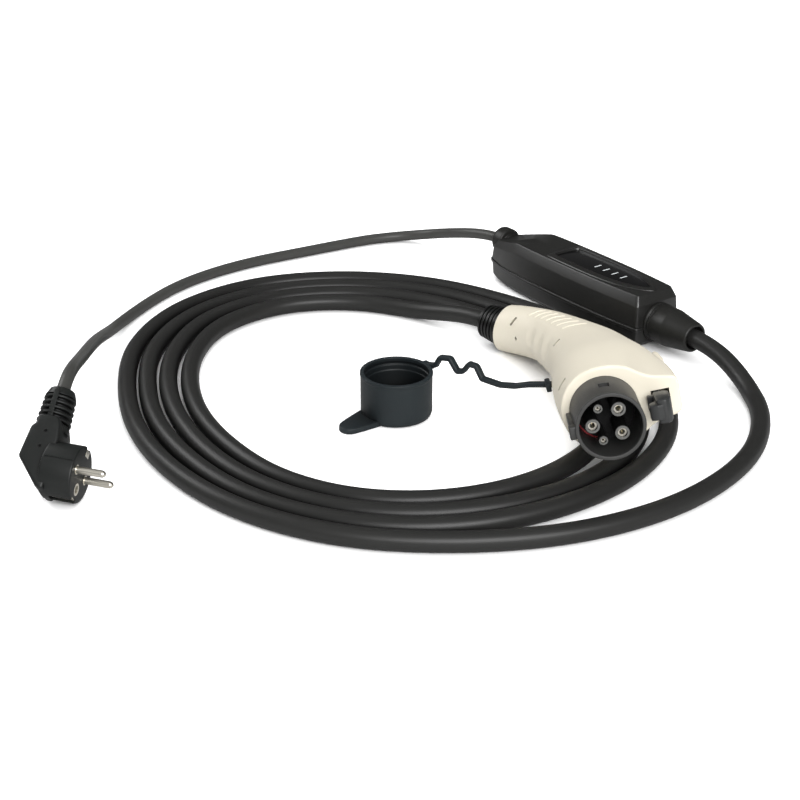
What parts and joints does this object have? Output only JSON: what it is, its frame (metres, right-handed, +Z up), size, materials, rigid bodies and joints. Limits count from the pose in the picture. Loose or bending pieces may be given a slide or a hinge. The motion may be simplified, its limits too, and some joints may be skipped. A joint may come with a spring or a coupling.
{
  "type": "portable electric car charger",
  "caption": "Portable car charger: angled mains plug, in-line control box, loosely coiled charging cable and a pistol-grip vehicle connector with latch and tethered cap.",
  "frame": {"origin": "on the floor, at the middle of the space taken up by the control box, the connector and the cap", "axes": "+X right and +Y away as the set lies in front of the viewer, +Z up; the connector faces -Y"},
  "size_m": [0.4996, 0.555, 0.0851],
  "materials": {
    "box_shell": "matte",
    "seal": "matte",
    "panel": "gloss",
    "lens": "gloss",
    "board": "satin",
    "relay": "satin",
    "electronics": "satin",
    "steel": "satin",
    "nickel": "satin",
    "gland": "matte",
    "cable": "matte",
    "handle": "satin",
    "sleeve": "matte",
    "insulator": "matte",
    "latch": "satin",
    "cap": "matte",
    "plug": "matte"
  },
  "bodies": {
    "set": {"box_lower_shell": "box_shell", "box_gasket": "seal", "box_upper_shell": "box_shell", "display_panel": "panel", "indicator_lenses": "lens", "circuit_board": "board", "board_screws": "steel", "power_relays": "relay", "leakage_sensor": "electronics", "supply_module": "electronics", "terminal_block": "board", "status_leds": "lens", "led_board": "board", "box_screws": "steel", "rubber_feet": "seal", "gland_ring": "gland", "gland_boot": "gland", "mains_grommet": "gland", "charging_cable": "cable", "mains_cable": "cable", "handle_upper": "handle", "handle_lower": "handle", "handle_screws": "steel", "connector_sleeve": "sleeve", "contact_carrier": "insulator", "power_contacts": "nickel", "earth_contact": "nickel", "signal_contacts": "nickel", "latch_pin": "steel", "grip_boot": "seal", "connector_cap": "cap", "cap_tether": "cap", "plug_body": "plug", "plug_pins": "nickel", "plug_earth_socket": "nickel", "plug_earth_clips": "nickel"},
    "latch": {"latch_lever": "latch", "release_button": "handle"}
  },
  "joints": [
    {"name": "latch_turn", "type": "hinge", "parent": "set", "child": "latch", "pos_m": [0.06626, -0.14636, 0.05836], "axis": [-0.2079, 0.1192, 0.9709], "range_deg": [0, 8], "stiffness_Nm_per_rad": 0.4, "springref_deg": -4.58}
  ]
}
